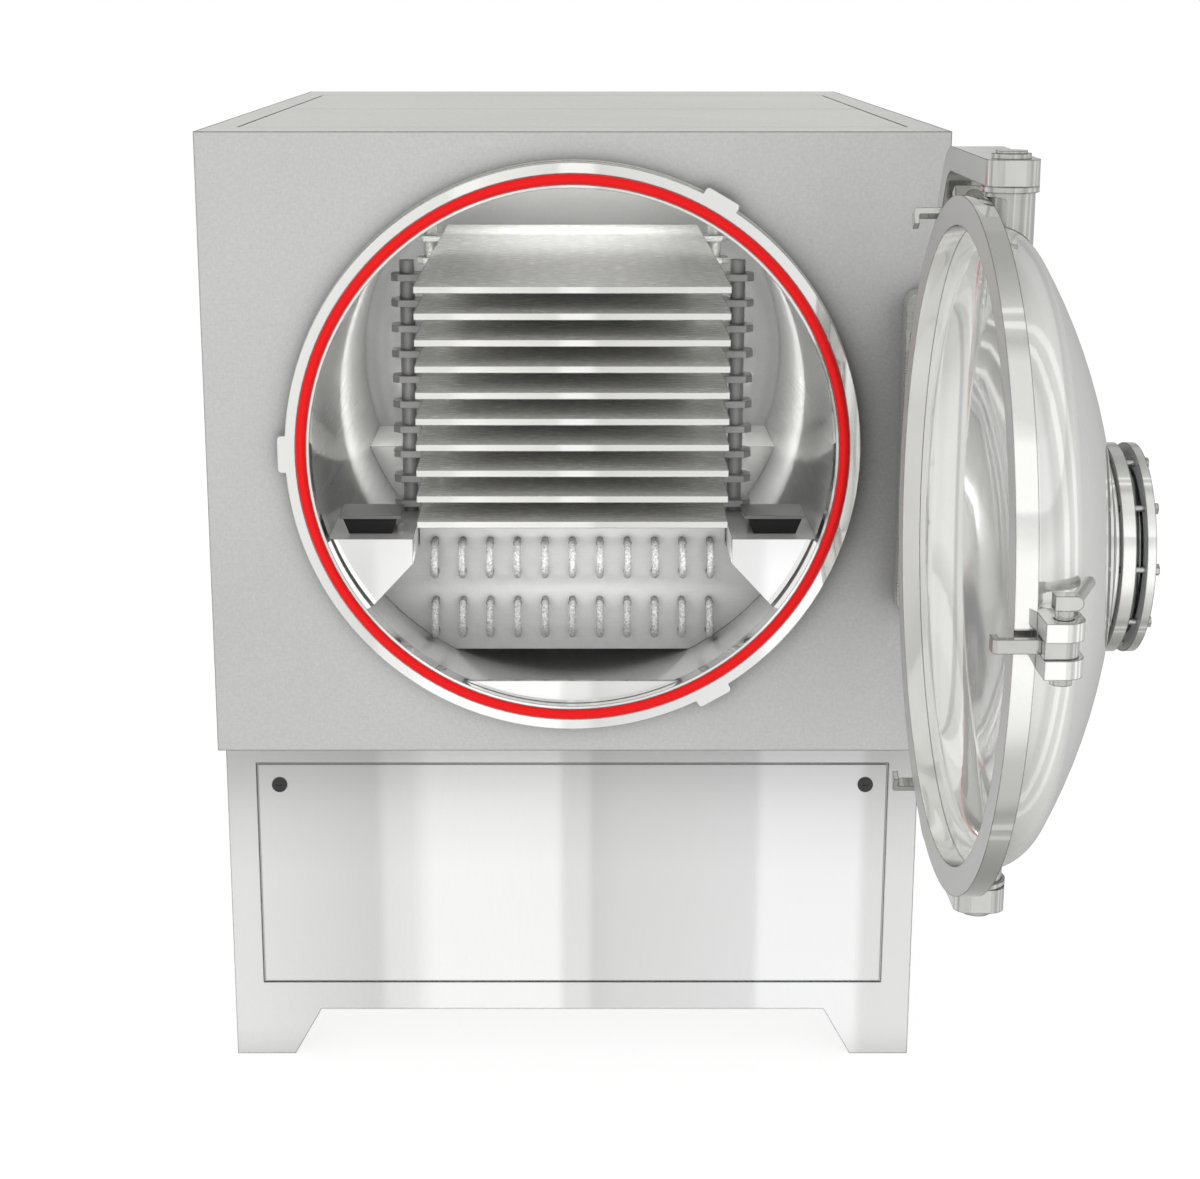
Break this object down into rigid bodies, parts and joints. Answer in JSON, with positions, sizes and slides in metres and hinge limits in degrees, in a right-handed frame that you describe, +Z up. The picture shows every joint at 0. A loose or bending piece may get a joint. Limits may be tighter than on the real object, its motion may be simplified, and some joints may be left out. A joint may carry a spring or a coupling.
{
  "type": "freeze dryer",
  "caption": "Floor-standing freeze dryer: a round vacuum chamber with a shelf rack in a steel cabinet, and a dished door on a swinging yoke with hook clamps.",
  "frame": {"origin": "on the floor, under the middle of the left front foot", "axes": "+X to the right of someone who faces the machine, +Y into the machine from its front, +Z up"},
  "size_m": [1.5834, 3.3549, 1.915],
  "materials": {
    "cabinet_steel": "brushed",
    "inner_steel": "satin",
    "chamber_steel": "polished",
    "gasket_silicone": "satin",
    "rack_steel": "satin",
    "shelf_aluminium": "satin",
    "black_parts": "matte",
    "coil_steel": "satin",
    "line_steel": "satin",
    "machine_paint": "gloss",
    "compressor_paint": "gloss",
    "door_steel": "polished",
    "yoke_steel": "satin",
    "bolt_steel": "satin",
    "sight_pane": "clear"
  },
  "bodies": {
    "cabinet": {"front_panel": "cabinet_steel", "left_side_panel": "cabinet_steel", "right_side_panel": "cabinet_steel", "rear_panel": "cabinet_steel", "top_frame": "cabinet_steel", "top_cover_front": "cabinet_steel", "top_cover_rear": "cabinet_steel", "deck": "inner_steel", "base_frame": "cabinet_steel", "base_pan": "inner_steel", "service_panel": "cabinet_steel", "chamber_shell": "chamber_steel", "rear_head": "chamber_steel", "saddles": "inner_steel", "mouth_ring": "chamber_steel", "gasket": "gasket_silicone", "sill": "chamber_steel", "rack_brackets_front": "rack_steel", "rack_brackets_rear": "rack_steel", "rack_stops": "rack_steel", "rack_posts_front": "black_parts", "rack_posts_rear": "rack_steel", "shelf_lugs_front": "black_parts", "shelf_lugs_rear": "rack_steel", "shelf_01": "shelf_aluminium", "shelf_02": "shelf_aluminium", "shelf_03": "shelf_aluminium", "shelf_04": "shelf_aluminium", "shelf_05": "shelf_aluminium", "shelf_06": "shelf_aluminium", "shelf_07": "shelf_aluminium", "shelf_08": "shelf_aluminium", "shelf_09": "shelf_aluminium", "shelf_10": "shelf_aluminium", "coil_sheets": "coil_steel", "coil_tubes": "coil_steel", "vacuum_line": "line_steel", "pump": "machine_paint", "compressor": "compressor_paint", "hinge_bracket": "yoke_steel", "hinge_pin": "yoke_steel"},
    "yoke": {"yoke": "yoke_steel", "trunnion_pins": "yoke_steel"},
    "door": {"door_ring": "door_steel", "door_head": "door_steel", "sight_port": "door_steel", "sight_glass": "sight_pane", "sight_cover": "door_steel", "sight_bolts": "bolt_steel", "trunnion_tubes": "door_steel", "clamp_brackets": "door_steel"},
    "hook_upper": {"clamp_hook_upper": "door_steel"},
    "lever_upper": {"clamp_lever_upper": "door_steel"},
    "hook_side": {"clamp_hook_side": "door_steel"},
    "lever_side": {"clamp_lever_side": "door_steel"},
    "hook_lower": {"clamp_hook_lower": "door_steel"},
    "lever_lower": {"clamp_lever_lower": "door_steel"},
    "latch_left": {"latch_left": "black_parts"},
    "latch_right": {"latch_right": "black_parts"}
  },
  "joints": [
    {"name": "yoke_swing", "type": "hinge", "parent": "cabinet", "child": "yoke", "pos_m": [1.3051, -0.2879, 1.302], "axis": [0, 0, 1], "range_deg": [-90, 10]},
    {"name": "door_pivot", "type": "hinge", "parent": "yoke", "child": "door", "pos_m": [1.3003, -0.9535, 1.302], "axis": [0, 0, 1], "range_deg": [0, 3]},
    {"name": "hook_upper_swing", "type": "hinge", "parent": "door", "child": "hook_upper", "pos_m": [1.2898, -0.6665, 1.7991], "axis": [0, 0.866, -0.5], "range_deg": [0, 55]},
    {"name": "lever_upper_turn", "type": "hinge", "parent": "door", "child": "lever_upper", "pos_m": [1.2898, -0.6665, 1.7991], "axis": [0, 0.866, -0.5], "range_deg": [-55, 0]},
    {"name": "hook_side_swing", "type": "hinge", "parent": "door", "child": "hook_side", "pos_m": [1.2898, -1.5275, 1.302], "axis": [0, 0, 1], "range_deg": [0, 55]},
    {"name": "lever_side_turn", "type": "hinge", "parent": "door", "child": "lever_side", "pos_m": [1.2898, -1.5275, 1.302], "axis": [0, 0, 1], "range_deg": [-55, 0]},
    {"name": "hook_lower_swing", "type": "hinge", "parent": "door", "child": "hook_lower", "pos_m": [1.2898, -0.6665, 0.8049], "axis": [0, -0.866, -0.5], "range_deg": [0, 55]},
    {"name": "lever_lower_turn", "type": "hinge", "parent": "door", "child": "lever_lower", "pos_m": [1.2898, -0.6665, 0.8049], "axis": [0, -0.866, -0.5], "range_deg": [-55, 0]},
    {"name": "latch_left_turn", "type": "hinge", "parent": "cabinet", "child": "latch_left", "pos_m": [0.0455, -0.0605, 0.594], "axis": [0, -1, 0], "range_deg": [0, 90]},
    {"name": "latch_right_turn", "type": "hinge", "parent": "cabinet", "child": "latch_right", "pos_m": [1.2335, -0.0605, 0.594], "axis": [0, 1, 0], "range_deg": [0, 90]}
  ]
}
